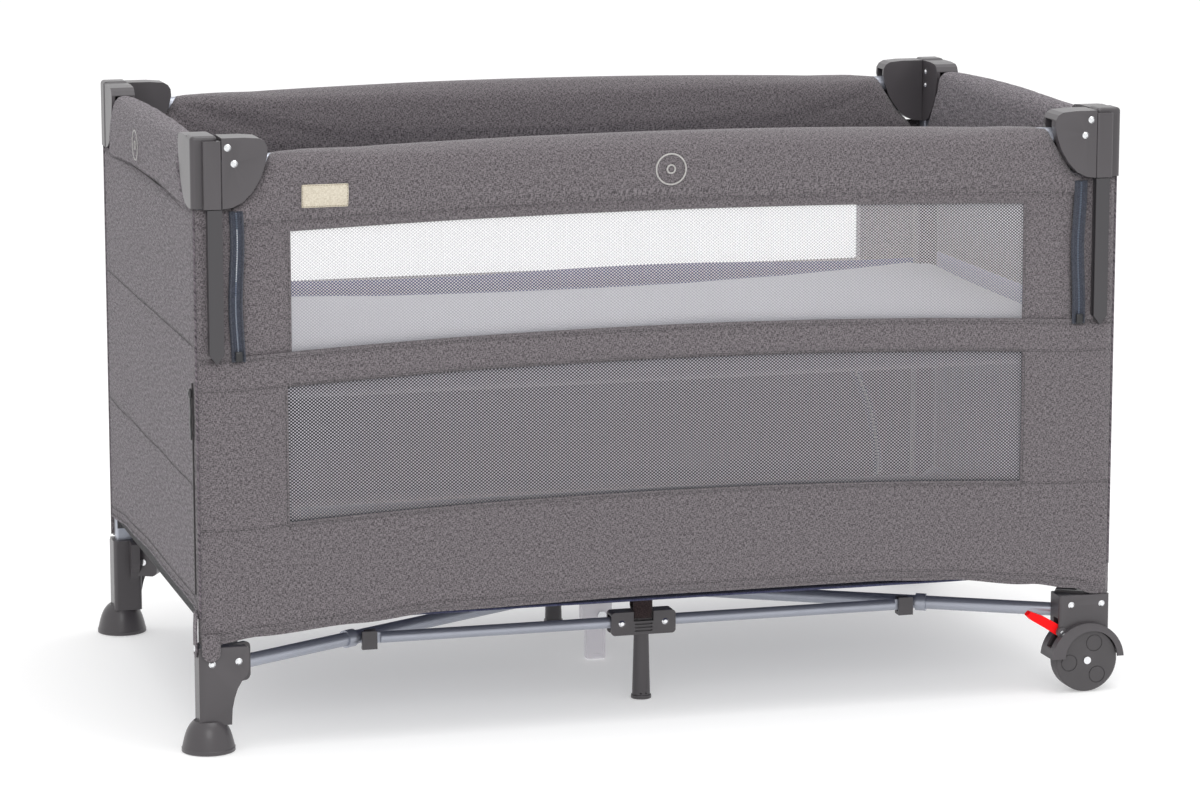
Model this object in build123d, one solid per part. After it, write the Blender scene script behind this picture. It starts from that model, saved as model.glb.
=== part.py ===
from build123d import *
import os
from math import atan2, cos, degrees, hypot, radians, sin

# Folding travel cot with a drop side. Millimetres, +Z up, origin on the floor under the middle
# of the pen, X along its length, -Y the drop side.
# Corner pieces are drawn in the +X +Y corner and mirrored to where they stand.

# overall
POST_X, POST_Y = 597.0, 335.0   # centre line of a corner post
HEIGHT = 780.0                  # floor to the top of the corner caps
RAIL_Z = 745.0                  # centre line of the top rails
BASE_Z = 104.0                  # centre line of the folding base
# The pen folds with one angle everywhere when every link is this share of its distance
# from the middle to the post.
LINK_SHARE = 0.90

# tubes
POST_SIDE, POST_WALL = 22.0, 1.5
RAIL_D, DIAG_D, STAB_D = 20.0, 18.0, 15.0
TUBE_WALL = 1.5
RUN = 0.05                      # radial running clearance at a pin
OPEN_RUN = 0.6                  # at the pin where a closed loop is opened
PIN_D = 6.0

# corner caps and sliders
CAP_HALF, CAP_BOTTOM = 17.0, 690.0
WING_LEN, WING_W, WING_SLOT = 60.0, 32.0, 22.4
TRACK_X0, TRACK_X1 = 577.0, 595.5
TRACK_Y0, TRACK_Y1 = 350.0, 362.0
TRACK_BOTTOM, TRACK_TOP = 500.0, 689.0
SLOT_Y0, SLOT_Y1, SLOT_X = 354.5, 359.5, 590.0
SLIDER_X0, SLIDER_X1 = 519.0, 576.5
SLIDER_Y0, SLIDER_Y1 = 317.0, 361.0

# base
HUB_R, HUB_PIN_R = 48.0, 34.0
HUB_Z0, HUB_Z1 = 90.0, 121.0
STAB_SHARE = 0.62               # where the stabiliser meets a diagonal, as a share of POST_X
STAB_OUT = 18.0                 # its bar runs this far outside the diagonal
STAB_PIN_X = HUB_PIN_R * POST_X / hypot(POST_X, POST_Y)
BRACKET_TOP = 134.0

# wheels
WHEEL_X, WHEEL_R, WHEEL_W = 580.0, 43.0, 24.0
WHEEL_Y = 343.0
FENDER_R, FENDER_IN = 51.0, 47.0
FENDER_Z = 47.0                 # the fender ends this high above the floor
LEVER_X, LEVER_Z = 545.0, 82.0

# soft parts
WALL_T = 3.0
HEM_Z, SEAM_Z = 138.0, 505.0
WALL_TOP = 664.0
FLOOR_Z0, FLOOR_Z1 = 159.0, 162.0
MAT_Z0, MAT_Z1 = 450.0, 465.0
SLEEVE_Z0, SLEEVE_Z1, SLEEVE_W = 665.0, 768.0, 40.0

SPAN = hypot(POST_X, POST_Y)
UX, UY = POST_X / SPAN, POST_Y / SPAN
DIAG_TURN = degrees(atan2(POST_Y, POST_X))
LONG_PIVOT = POST_X * LINK_SHARE
SHORT_PIVOT = POST_Y * LINK_SHARE
DIAG_OUT_R = HUB_PIN_R + SPAN * LINK_SHARE
STAB_R = POST_X * STAB_SHARE / UX


def block(x0, x1, y0, y1, z0, z1):
    return Pos((x0 + x1) / 2, (y0 + y1) / 2, (z0 + z1) / 2) * Box(x1 - x0, y1 - y0, z1 - z0)


def rod_x(x0, x1, y, z, r):
    return Pos((x0 + x1) / 2, y, z) * Rot(0, 90, 0) * Cylinder(r, x1 - x0)


def rod_y(x, y0, y1, z, r):
    return Pos(x, (y0 + y1) / 2, z) * Rot(90, 0, 0) * Cylinder(r, y1 - y0)


def rod_z(x, y, z0, z1, r):
    return Pos(x, y, (z0 + z1) / 2) * Cylinder(r, z1 - z0)


def prism_xz(points, y0, y1):
    """A closed outline in X and Z, extruded from y0 to y1."""
    face = Plane.XZ * make_face(Polyline(*points, close=True))
    return Pos(0, y1, 0) * extrude(face, amount=y1 - y0)


def soft_edges(shape, axis, r):
    return fillet(shape.edges().filter_by(axis), r)


def placed(shape, sx, sy):
    """A piece drawn in the +X +Y corner, mirrored to corner (sx, sy)."""
    if sx < 0:
        shape = mirror(shape, about=Plane.YZ)
    if sy < 0:
        shape = mirror(shape, about=Plane.XZ)
    return shape


def along_diagonal(shape):
    """A piece drawn with its length on +X, turned onto the diagonal of the +X +Y corner."""
    return Rot(0, 0, DIAG_TURN) * shape


def post(bottom):
    half, inner = POST_SIDE / 2, POST_SIDE / 2 - POST_WALL
    x, y = POST_X, POST_Y
    outer = soft_edges(block(x - half, x + half, y - half, y + half, bottom, 770), Axis.Z, 3)
    return outer - block(x - inner, x + inner, y - inner, y + inner, bottom - 1, 771)


def wing_outline(face, far):
    """Side view of the quarter-round wing over a rail end, from the cap face to its far end."""
    run = far - face
    share = [(0, 690), (0.22, 691.5), (0.45, 698), (0.67, 711), (0.84, 727), (0.94, 743),
             (1, 758), (0.99, 767), (0.93, 773), (0.82, 776.5), (0.5, 778), (0, 778)]
    return [(face + s * run, z) for s, z in share]


def long_wing():
    """Wing over the end of a long rail, slotted for the rail to swing down."""
    y0, y1 = POST_Y - WING_W / 2, POST_Y + WING_W / 2
    s = WING_SLOT / 2
    face = POST_X - CAP_HALF + 0.5
    wing = prism_xz(wing_outline(face, face - WING_LEN), y0, y1)
    wing -= block(face - WING_LEN - 1, LONG_PIVOT + 13.5, POST_Y - s, POST_Y + s, 680, 766)
    return wing - rod_y(LONG_PIVOT, y0 + 2, y1 - 2, RAIL_Z, PIN_D / 2 + 0.02)


def short_wing():
    """The same over the end of a short rail."""
    face = POST_Y - CAP_HALF + 0.5
    wing = prism_xz(wing_outline(face, face - WING_LEN), -WING_W / 2, WING_W / 2)
    s = WING_SLOT / 2
    wing -= block(face - WING_LEN - 1, SHORT_PIVOT + 13.4, -s, s, 680, 766)
    wing -= rod_y(SHORT_PIVOT, 2 - WING_W / 2, WING_W / 2 - 2, RAIL_Z, PIN_D / 2 + 0.02)
    for z in WING_RIVET_Z:
        wing -= rod_y(WING_RIVET_Y, -WING_W / 2 - 1, 1 - s, z, 2.52)
    return Pos(POST_X, 0, 0) * mirror(Rot(0, 0, 90) * wing, about=Plane.YZ)


WING_RIVET_Y, WING_RIVET_Z = SHORT_PIVOT + 6, (762, 743)


def cap_core():
    x, y, h = POST_X, POST_Y, CAP_HALF
    core = soft_edges(block(x - h, x + h, y - h, y + h, CAP_BOTTOM, HEIGHT), Axis.Z, 6)
    return fillet(core.faces().sort_by(Axis.Z)[-1].edges(), 5)


def post_hole():
    half = POST_SIDE / 2
    x, y = POST_X, POST_Y
    return block(x - half, x + half, y - half, y + half, CAP_BOTTOM - 5, 770.5)


def cap_back():
    return cap_core() + long_wing() + short_wing() - post_hole()


def cap_front():
    """Cap with one wing and a guide for the slider of the drop side."""
    guide = block(TRACK_X0, TRACK_X1 + 4, TRACK_Y0 - 2, TRACK_Y1, CAP_BOTTOM, 774)
    guide = fillet(guide.edges().filter_by(Axis.Z).group_by(Axis.Y)[-1], 3)
    slot = block(TRACK_X0 - 1, SLOT_X, SLOT_Y0, SLOT_Y1, CAP_BOTTOM - 1, 756)
    return cap_core() + short_wing() + guide - post_hole() - slot


def track():
    """Rail on the front of a front post, with a slot open towards the slider and a pointed foot."""
    mid = (TRACK_X0 + TRACK_X1) / 2
    outline = [(TRACK_X0, TRACK_TOP), (TRACK_X0, TRACK_BOTTOM + 8), (mid, TRACK_BOTTOM - 4),
               (TRACK_X1, TRACK_BOTTOM + 8), (TRACK_X1, TRACK_TOP)]
    rail = prism_xz(outline, TRACK_Y0, TRACK_Y1)
    rail -= block(TRACK_X0 - 1, SLOT_X, SLOT_Y0, SLOT_Y1, TRACK_BOTTOM + 8, TRACK_TOP + 1)
    for z in (535, 655):
        rail += rod_y(mid, POST_Y + POST_SIDE / 2, TRACK_Y0 + 1, z, 5)
    return rail


def slider():
    """Quarter-round piece that carries one end of the drop rail and runs on the track."""
    body = prism_xz(wing_outline(SLIDER_X1, SLIDER_X0), SLIDER_Y0, SLIDER_Y1)
    s = WING_SLOT / 2
    body -= block(SLIDER_X0 - 1, LONG_PIVOT + 13.5, POST_Y - s, POST_Y + s, 680, 766)
    body -= rod_y(LONG_PIVOT, SLIDER_Y0 + 2, SLIDER_Y1 - 4, RAIL_Z, PIN_D / 2 + 0.02)
    for x, z in SLIDER_RIVETS:
        body -= rod_y(x, SLIDER_Y1 - 8, SLIDER_Y1 + 1, z, 3.02)
    return body + block(SLIDER_X1 - 1, SLOT_X - 0.5, SLOT_Y0 + 0.3, SLOT_Y1 - 0.3, 702, 750)


SLIDER_RIVETS = ((569, 766), (561, 746))


def slider_pins():
    pins = [rod_y(LONG_PIVOT, SLIDER_Y0 + 2, SLIDER_Y1 - 4, RAIL_Z, PIN_D / 2)]
    pins += [rivet(x, SLIDER_Y1 - 8, SLIDER_Y1, z) for x, z in SLIDER_RIVETS]
    return pins


def rivet(x, y0, y1, z, head=4.5):
    """Round-headed rivet along Y with its head on the y1 side."""
    cap = Pos(x, y1, z) * Rot(-90, 0, 0) * Cone(head, head * 0.55, 1.8,
                                                align=(Align.CENTER, Align.CENTER, Align.MIN))
    return rod_y(x, y0, y1 + 0.1, z, 3) + cap


def rail_tube(far, near, clearance):
    """Tube of half a rail on +X, with the pin hole at its far end."""
    tube = rod_x(near, far + 8, 0, 0, RAIL_D / 2)
    tube -= rod_x(near - 1, far + 9, 0, 0, RAIL_D / 2 - TUBE_WALL)
    return tube - rod_y(far, -20, 20, 0, PIN_D / 2 + clearance)


def lock_body():
    """Block that grips the tube beside the middle hinge of a rail."""
    body = soft_edges(block(54, 90, -13, 13, -14, 14), Axis.X, 4)
    return body - rod_x(62, 91, 0, 0, RAIL_D / 2 + 0.02)


def leaf(y0, y1, hole):
    """Flat plate from a lock block to the hinge pin at the middle."""
    plate = block(0, 58, y0, y1, -9, 9) + rod_y(0, y0, y1, 0, 9)
    return plate - rod_y(0, y0 - 1, y1 + 1, 0, hole)


def rail_fork(far):
    """Rail half that carries the hinge pin: tube, lock block with two plates, pin."""
    lock = lock_body() + leaf(6, 10, PIN_D / 2 + 0.02) + leaf(-10, -6, PIN_D / 2 + 0.02)
    return [rail_tube(far, 62.5, RUN), lock, rod_y(0, -10, 10, 0, PIN_D / 2)]


def rail_tongue(far):
    """Rail half that turns on the pin; its far end is where the loop is opened."""
    lock = lock_body() + leaf(-5.6, 5.6, PIN_D / 2 + RUN)
    return [rail_tube(far, 62.5, OPEN_RUN), lock]


def long_rail(make, sx, sy):
    shapes = [Pos(0, sy * POST_Y, RAIL_Z) * s for s in make(LONG_PIVOT)]
    return [mirror(s, about=Plane.YZ) if sx < 0 else s for s in shapes]


def short_rail(make, sx, sy):
    shapes = [Pos(sx * POST_X, 0, RAIL_Z) * Rot(0, 0, 90) * s for s in make(SHORT_PIVOT)]
    return [mirror(s, about=Plane.XZ) if sy < 0 else s for s in shapes]


def arm_cheeks(z0, length):
    """Arm of a foot or wheel bracket on +X towards the middle, slotted for the diagonal."""
    arm = block(10, length, -15, 15, z0, BRACKET_TOP)
    arm = fillet(arm.edges().filter_by(Axis.Y).group_by(Axis.X)[-1], 8)
    arm -= block(SPAN - DIAG_OUT_R - 11.8, length + 1, -9.4, 9.4, BASE_Z - 12, BRACKET_TOP + 1)
    return arm - rod_y(SPAN - DIAG_OUT_R, -13, 16, BASE_Z, PIN_D / 2 + 0.02)


def at_post(shape):
    """A piece drawn with the post at the origin and +X towards the middle, set on the post."""
    return Pos(POST_X, POST_Y, 0) * Rot(0, 0, DIAG_TURN + 180) * shape


def base_socket(z0):
    half = POST_SIDE / 2
    x, y = POST_X, POST_Y
    return block(x - half, x + half, y - half, y + half, z0, BRACKET_TOP + 1)


def diag_pin():
    pin = rod_y(SPAN - DIAG_OUT_R, -13, 15, BASE_Z, PIN_D / 2)
    head = Pos(SPAN - DIAG_OUT_R, 15, BASE_Z) * Rot(-90, 0, 0) * Cylinder(4.5, 1.8, align=(
        Align.CENTER, Align.CENTER, Align.MIN))
    return at_post(pin + head)


def foot_side(width):
    """Outline of a foot seen from one side: wide head, edge curved in to the leg."""
    return [(17, BRACKET_TOP - 4), (13, BRACKET_TOP), (20 - width, BRACKET_TOP),
            (17 - width, BRACKET_TOP - 3), (17 - width, 104), (19 - width, 98),
            (-width + 26, 90), (-width + 32, 80), (-width + 36, 68), (-width + 39, 54),
            (-width + 40, 34), (17, 34)]


def bell():
    """Hollow-soled bell under the leg of a foot, with a thin rim."""
    side = Spline((33.4, 5), (30.5, 17), (25.5, 30), (18, 39))
    edges = [Line((0, 0), (34, 0)), Line((34, 0), (34, 4.4)), Line((34, 4.4), (33.4, 5)), side,
             Line((18, 39), (0, 39)), Line((0, 39), (0, 0))]
    shape = revolve(Plane.XZ * make_face(edges), Axis.Z)
    return shape - rod_z(0, 0, -1, 3, 27)


def foot():
    """Moulded foot: bell, square leg, head with two flat faces, fork for the diagonal."""
    x, y = POST_X, POST_Y
    head = soft_edges(block(x - 22, x + 17, y - 20, y + 17, 34, BRACKET_TOP), Axis.Z, 5)
    front = Pos(x, 0, 0) * prism_xz(foot_side(FOOT_HEAD), y + 5, y + 17)
    side = Pos(0, y, 0) * mirror(Rot(0, 0, 90) * prism_xz(foot_side(FOOT_HEAD - 10), -17, -5),
                                 about=Plane.YZ)
    side = Pos(x, 0, 0) * side
    body = head + front + side + Pos(x + 4, y + 3, 0) * bell() + at_post(arm_cheeks(84, 54))
    for bx, bz in FOOT_RIVETS:
        body -= rod_y(bx, y + 9, y + 18, bz, 3.02)
    return body - diag_slot() - base_socket(76)


FOOT_HEAD = 64.0
FOOT_RIVETS = ((563, 115), (597, 113))


def diag_slot():
    cut = block(SPAN - DIAG_OUT_R - 11.8, 80, -9.4, 9.4, BASE_Z - 12, BRACKET_TOP + 1)
    return at_post(cut + rod_y(SPAN - DIAG_OUT_R, -13, 16, BASE_Z, PIN_D / 2 + 0.02))


def wheel_bracket():
    """Socket for the post and the diagonal, with the fender and the axle plate of the wheel."""
    x, y = POST_X, POST_Y
    y0, y1, lip = 317.0, 360.0, 357.0
    head = soft_edges(block(x - 56, x + 15, y - 18, y + 17, 78, BRACKET_TOP - 3), Axis.Z, 4)
    arch = rod_y(WHEEL_X, y0, y1, WHEEL_R, FENDER_R) - block(400, 700, 200, 400, -60, FENDER_Z)
    body = head + arch + rod_y(LEVER_X, 326, 354, LEVER_Z, 7) + at_post(arm_cheeks(84, 54))
    body -= rod_y(WHEEL_X, 328, lip, WHEEL_R, FENDER_IN)
    # the lip in front of the wheel is wide towards the middle and narrow behind
    body -= rod_y(WHEEL_X + 5, lip - 1, y1 + 1, WHEEL_R + 3, 37)
    body += rod_y(WHEEL_X, y0, 328, WHEEL_R, 16)
    body -= rod_y(WHEEL_X, y0 - 1, 329, WHEEL_R, 4.02)
    # notch and pin hole of the brake lever
    body -= block(480, LEVER_X + 14, 332, 348, 60, 100)
    body -= rod_y(LEVER_X, 326, 356, LEVER_Z, 2.52)
    for bx, bz in BRACKET_RIVETS:
        body -= rod_y(bx, y + 9, y + 18, bz, 3.02)
    return body - diag_slot() - base_socket(104)


BRACKET_RIVETS = ((558, 118), (601, 118))


def wheel():
    """Disc wheel with three shallow round marks, a tyre edge and a hub bore."""
    y0, y1 = WHEEL_Y - WHEEL_W / 2, WHEEL_Y + WHEEL_W / 2
    disc = rod_y(WHEEL_X, y0, y1, WHEEL_R, WHEEL_R)
    disc = chamfer(disc.edges(), 2)
    for turn in (66, 186, 306):
        x, z = WHEEL_X + 25 * cos(radians(turn)), WHEEL_R + 25 * sin(radians(turn))
        disc -= rod_y(x, y1 - 1, y1 + 1, z, 11.5) - rod_y(x, y1 - 2, y1 + 2, z, 10.3)
    return disc - rod_y(WHEEL_X, y0 - 1, y1 + 1, WHEEL_R, 4 + RUN)


def axle():
    pin = rod_y(WHEEL_X, 317, 356, WHEEL_R, 4)
    return pin + rod_y(WHEEL_X, 355.3, 358, WHEEL_R, 5)


def brake():
    """Pedal that turns on a pin in the fender and presses on the tyre."""
    outline = [(LEVER_X + 3, LEVER_Z - 6), (LEVER_X + 6, LEVER_Z + 3), (LEVER_X, LEVER_Z + 8),
               (LEVER_X - 22, LEVER_Z + 21), (LEVER_X - 42, LEVER_Z + 29),
               (LEVER_X - 47, LEVER_Z + 24), (LEVER_X - 40, LEVER_Z + 17),
               (LEVER_X - 20, LEVER_Z + 5), (LEVER_X - 5, LEVER_Z - 5)]
    pedal = soft_edges(prism_xz(outline, 334, 346), Axis.Y, 1.5)
    return pedal - rod_y(LEVER_X, 330, 350, LEVER_Z, 2.5 + RUN)


def diagonal():
    """Base tube from the hub to a corner, with the collar that carries the stabiliser."""
    tube = rod_x(HUB_PIN_R - 7, DIAG_OUT_R + 7, 0, BASE_Z, DIAG_D / 2)
    tube -= rod_x(0, 800, 0, BASE_Z, DIAG_D / 2 - TUBE_WALL)
    for r in (HUB_PIN_R, DIAG_OUT_R):
        tube -= rod_y(r, -20, 20, BASE_Z, PIN_D / 2 + RUN)
    tube -= rod_y(STAB_R, -20, 20, BASE_Z, 4 + RUN)
    collar = rod_x(STAB_R + 20, STAB_R + 34, 0, BASE_Z, DIAG_D / 2 + 2.6)
    collar -= rod_x(0, 800, 0, BASE_Z, DIAG_D / 2 + 0.02)
    return [along_diagonal(tube), along_diagonal(collar)]


def hub():
    """Hub block with four slots for the diagonals, open below."""
    body = rod_z(0, 0, HUB_Z0, HUB_Z1, HUB_R)
    body = fillet(body.edges().group_by(Axis.Z)[-1], 4)
    pins = []
    for sx, sy in CORNERS:
        cut = block(HUB_PIN_R - 11.8, HUB_R + 1, -9.4, 9.4, HUB_Z0 - 1, BASE_Z + 12)
        cut += rod_y(HUB_PIN_R, -14, 14, BASE_Z, PIN_D / 2 + 0.02)
        body -= placed(along_diagonal(cut), sx, sy)
        pins.append(placed(along_diagonal(rod_y(HUB_PIN_R, -12.5, 12.5, BASE_Z, PIN_D / 2)), sx, sy))
    return [body] + pins


def hub_foot():
    """Clear plastic foot bolted under the hub."""
    upper = soft_edges(block(-21, 21, -8, 8, 46, HUB_Z0), Axis.Y, 3)
    lower = soft_edges(block(-15, 13, -8, 8, 0, 60), Axis.Z, 4)
    lower = fillet(lower.edges().group_by(Axis.Z)[0], 4)
    lower -= soft_edges(block(-7, 8, -9, -6.5, 8, 45), Axis.Y, 4)
    return upper + lower - rod_y(6, -9, 9, 62, 4.02)


def hub_bolt():
    bolt = rod_y(6, -8.2, 9.2, 62, 4)
    return bolt + Pos(6, -10.6, 62) * Rot(90, 0, 0) * extrude(RegularPolygon(7, 6), 2.5, both=True)


CORNERS = ((-1, -1), (1, -1), (-1, 1), (1, 1))
STAB_X = POST_X * STAB_SHARE
STAB_Y = POST_Y * STAB_SHARE + STAB_OUT


def stab_bracket():
    """Bracket outside a diagonal: a boss into the tube and a fork for the stabiliser bar."""
    x, y, z = STAB_X, STAB_Y, BASE_Z
    body = block(x - 12, x + 8, y - 9, y + 7, z - 14, z - 9.5)
    body += block(x - 12, x + 8, y + 2.6, y + 7, z - 14, z + 10)
    body += block(x - 12, x + 8, y - 9, y - 2.6, z - 14, z + 10)
    body -= rod_y(x, y - 3, y + 5, z, PIN_D / 2 + 0.02)
    behind = block(STAB_R - 80, STAB_R + 80, -40, 9.8, z - 40, z + 40)
    behind = along_diagonal(behind + block(STAB_R + 10, STAB_R + 80, -40, 12.4, z - 40, z + 40))
    boss = along_diagonal(rod_y(STAB_R, 1, 12, z, 4))
    return [body - behind + boss, rod_y(x, y - 2.6, y + 5, z, PIN_D / 2)]


def stab_tube(clearance):
    """Half of a stabiliser bar, flattened where it sits in its bracket."""
    x, y, z = STAB_X, STAB_Y, BASE_Z
    tube = rod_x(STAB_PIN_X - 6, x - 17, y, z, STAB_D / 2)
    tube -= rod_x(STAB_PIN_X - 7, x - 24, y, z, STAB_D / 2 - TUBE_WALL)
    tab = block(x - 22, x, y - 2, y + 2, z - 7, z + 7) + rod_y(x, y - 2, y + 2, z, 7)
    tube = tube + tab - rod_y(x, y - 9, y + 9, z, PIN_D / 2 + clearance)
    return tube - rod_y(STAB_PIN_X, y - 9, y + 9, z, PIN_D / 2 + RUN)


def stab_centre():
    """Middle bracket of a stabiliser with its leg and pins."""
    y, z = STAB_Y, BASE_Z
    body = soft_edges(block(-44, 44, y - 12, y + 12, z - 16, z + 15), Axis.Y, 5)
    for s in (-1, 1):
        x0, x1 = sorted((s * (STAB_PIN_X - 10), s * 45))
        body -= block(x0, x1, y - 8, y + 8, z - 17, z + 10.5)
        body -= rod_y(s * STAB_PIN_X, y - 10, y + 13, z, PIN_D / 2 + 0.02)
    # recess for the lifting strap, with grooves below it
    body -= block(-13.5, 13.5, y + 6, y + 13, z + 2, z + 16)
    for dz in (-10.5, -6, -1.5):
        body -= block(-12, 12, y + 9.5, y + 13, z + dz - 1.3, z + dz + 1.3)
    leg = Pos(0, y, 0) * Cone(12.2, 9.8, z - 15, align=(Align.CENTER, Align.CENTER, Align.MIN))
    leg += fillet(rod_z(0, y, 0, 5, 13.5).edges().group_by(Axis.Z)[-1], 1.5)
    for s in (-1, 1):
        leg -= rod_y(s * 3.5, y + 9, y + 14, 7.5, 1.1)
    pins = [rivet(s * STAB_PIN_X, y - 10, y + 12, z) for s in (-1, 1)]
    return [body + leg] + pins


def lifting_strap():
    """Webbing from the floor, over the front middle bracket and down into its recess."""
    y, z = STAB_Y, BASE_Z + 15.2
    strap = block(-13, 13, y - 10, y - 8, z, FLOOR_Z0 - 2) + block(-13, 13, y - 10, y + 9, z, z + 2)
    strap += block(-13, 13, y + 7, y + 9, z - 12, z + 22)
    return strap + block(-13, 13, y - 10, y + 9, z + 20, z + 22)


def wing_rivet(z):
    """Rivet in the side wing, with its head towards the middle of the pen."""
    y = WING_RIVET_Y
    shank = rod_x(POST_X - WING_W / 2, POST_X - WING_SLOT / 2 - 0.5, y, z, 2.5)
    head = Pos(POST_X - WING_W / 2, y, z) * Rot(0, -90, 0) * Cone(4.2, 2.4, 1.8, align=(
        Align.CENTER, Align.CENTER, Align.MIN))
    return shank + head


def corner_rivets(sx, sy):
    """Fasteners of one corner: blind rail pins, the diagonal's pin, and the axle at a wheel."""
    pins = [diag_pin()]
    pins += [wing_rivet(z) for z in WING_RIVET_Z]
    if sy > 0:
        pins.append(rod_y(LONG_PIVOT, POST_Y - 14, POST_Y + 14, RAIL_Z, PIN_D / 2))
    pins.append(rod_x(POST_X - 14, POST_X + 14, SHORT_PIVOT, RAIL_Z, PIN_D / 2))
    if sx > 0:
        pins += [axle(), rod_y(LEVER_X, 326, 354, LEVER_Z, 2.5)]
    front = BRACKET_RIVETS if sx > 0 else FOOT_RIVETS
    pins += [rivet(x, POST_Y + 11.2, POST_Y + 17, z) for x, z in front]
    return pins


def corner_cut(x, y, z0, z1):
    """The four corner notches that keep a panel clear of the posts."""
    return [block(*sorted((sx * x, sx * 700)), *sorted((sy * y, sy * 400)), z0, z1)
            for sx, sy in CORNERS]


def floor_panel():
    panel = block(-608, 608, -346, 346, FLOOR_Z0, FLOOR_Z1)
    for cut in corner_cut(580, 318, 0, 300):
        panel -= cut
    return panel


def mattress():
    pad = block(-602, 602, -340, 340, MAT_Z0, MAT_Z1)
    for cut in corner_cut(572, 310, 0, 600):
        pad -= cut
    return soft_edges(pad, Axis.Z, 8)


def front_wall():
    """Lower front panel with the two strips that reach up beside the posts."""
    panel = block(-612, 612, -350, -347, HEM_Z, SEAM_Z - 1)
    for s in (-1, 1):
        panel += block(*sorted((s * 562, s * 612)), -350, -347, HEM_Z, 684)
        for z in (535, 655):
            panel -= rod_y(s * (TRACK_X0 + TRACK_X1) / 2, -351, -346, z, 6)
    return panel


def upper_front_wall():
    """The panel that is lowered with the drop rail, and the two zips that free it."""
    panel = block(-553, 553, -350, -347, SEAM_Z, WALL_TOP)
    zips = [block(*sorted((s * 554, s * 561)), -351, -347, SEAM_Z, WALL_TOP) for s in (-1, 1)]
    return [panel] + zips


def side_wall(sx):
    return block(*sorted((sx * 609, sx * 612)), -346.5, 346.5, HEM_Z, WALL_TOP)


def back_wall():
    return block(-612, 612, 347, 350, HEM_Z, WALL_TOP)


def sleeve(length):
    """Padded rail cover on X with a channel for the rail and its lock."""
    half = SLEEVE_W / 2
    cover = soft_edges(block(-length, length, -half, half, SLEEVE_Z0, SLEEVE_Z1), Axis.X, 8)
    return cover - block(-length - 1, length + 1, -half + 4, half - 4, SLEEVE_Z0 + 7, SLEEVE_Z1 - 6)


def long_sleeve(sy):
    """Clear of the wings at both ends."""
    return Pos(0, sy * POST_Y, 0) * sleeve(516.0)


def short_sleeve(sx):
    return Pos(sx * POST_X, 0, 0) * Rot(0, 0, 90) * sleeve(256.0)


def save(name, shapes):
    shapes = shapes if isinstance(shapes, list) else [shapes]
    solids = [s for shape in shapes for s in shape.solids()]
    export_step(solids[0] if len(solids) == 1 else Compound(children=solids), f"parts/{name}.step")


def main():
    os.makedirs("parts", exist_ok=True)
    for sx, sy in CORNERS:
        tag = ("f" if sy < 0 else "b") + ("l" if sx < 0 else "r")
        save(f"post_{tag}", placed(post(76 if sx < 0 else 104), sx, sy))
        save(f"cap_{tag}", placed(cap_front() if sy < 0 else cap_back(), sx, sy))
        save(f"rivets_{tag}", [placed(p, sx, sy) for p in corner_rivets(sx, sy)])
        save(f"diagonal_{tag}", [placed(p, sx, sy) for p in diagonal()])
        save(f"stab_bracket_{tag}", [placed(p, sx, sy) for p in stab_bracket()])
        # the bar on the right ends in the pin where the loop is opened
        save(f"stab_tube_{tag}", placed(stab_tube(RUN if sx < 0 else OPEN_RUN), sx, sy))
        if sx < 0:
            save(f"foot_{tag}", placed(foot(), sx, sy))
        else:
            save(f"wheel_bracket_{tag}", placed(wheel_bracket(), sx, sy))
            save(f"wheel_{tag}", placed(wheel(), sx, sy))
            save(f"brake_{tag}", placed(brake(), sx, sy))
    for sx, tag in ((-1, "l"), (1, "r")):
        save(f"track_{tag}", placed(track(), sx, -1))
        save(f"slider_{tag}", [placed(p, sx, -1) for p in [slider()] + slider_pins()])
        make = rail_fork if sx < 0 else rail_tongue
        save(f"rail_front_{tag}", long_rail(make, sx, -1))
        save(f"rail_back_{tag}", long_rail(make, sx, 1))
        side = "left" if sx < 0 else "right"
        save(f"rail_{side}_f", short_rail(rail_fork, sx, -1))
        save(f"rail_{side}_b", short_rail(rail_tongue, sx, 1))
        save(f"wall_{side}", side_wall(sx))
        save(f"sleeve_{side}", short_sleeve(sx))
    save("hub", hub())
    save("hub_foot", [hub_foot(), hub_bolt()])
    save("stab_centre_b", stab_centre())
    save("stab_centre_f", [placed(p, 1, -1) for p in stab_centre()])
    save("strap", placed(lifting_strap(), 1, -1))
    save("sleeve_front", long_sleeve(-1))
    save("sleeve_back", long_sleeve(1))
    save("wall_front_low", front_wall())
    save("wall_front_up", upper_front_wall())
    save("wall_back", back_wall())
    save("floor_panel", floor_panel())
    save("mattress", mattress())


main()
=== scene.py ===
import math
import bpy, bmesh
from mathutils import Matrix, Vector, noise


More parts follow.
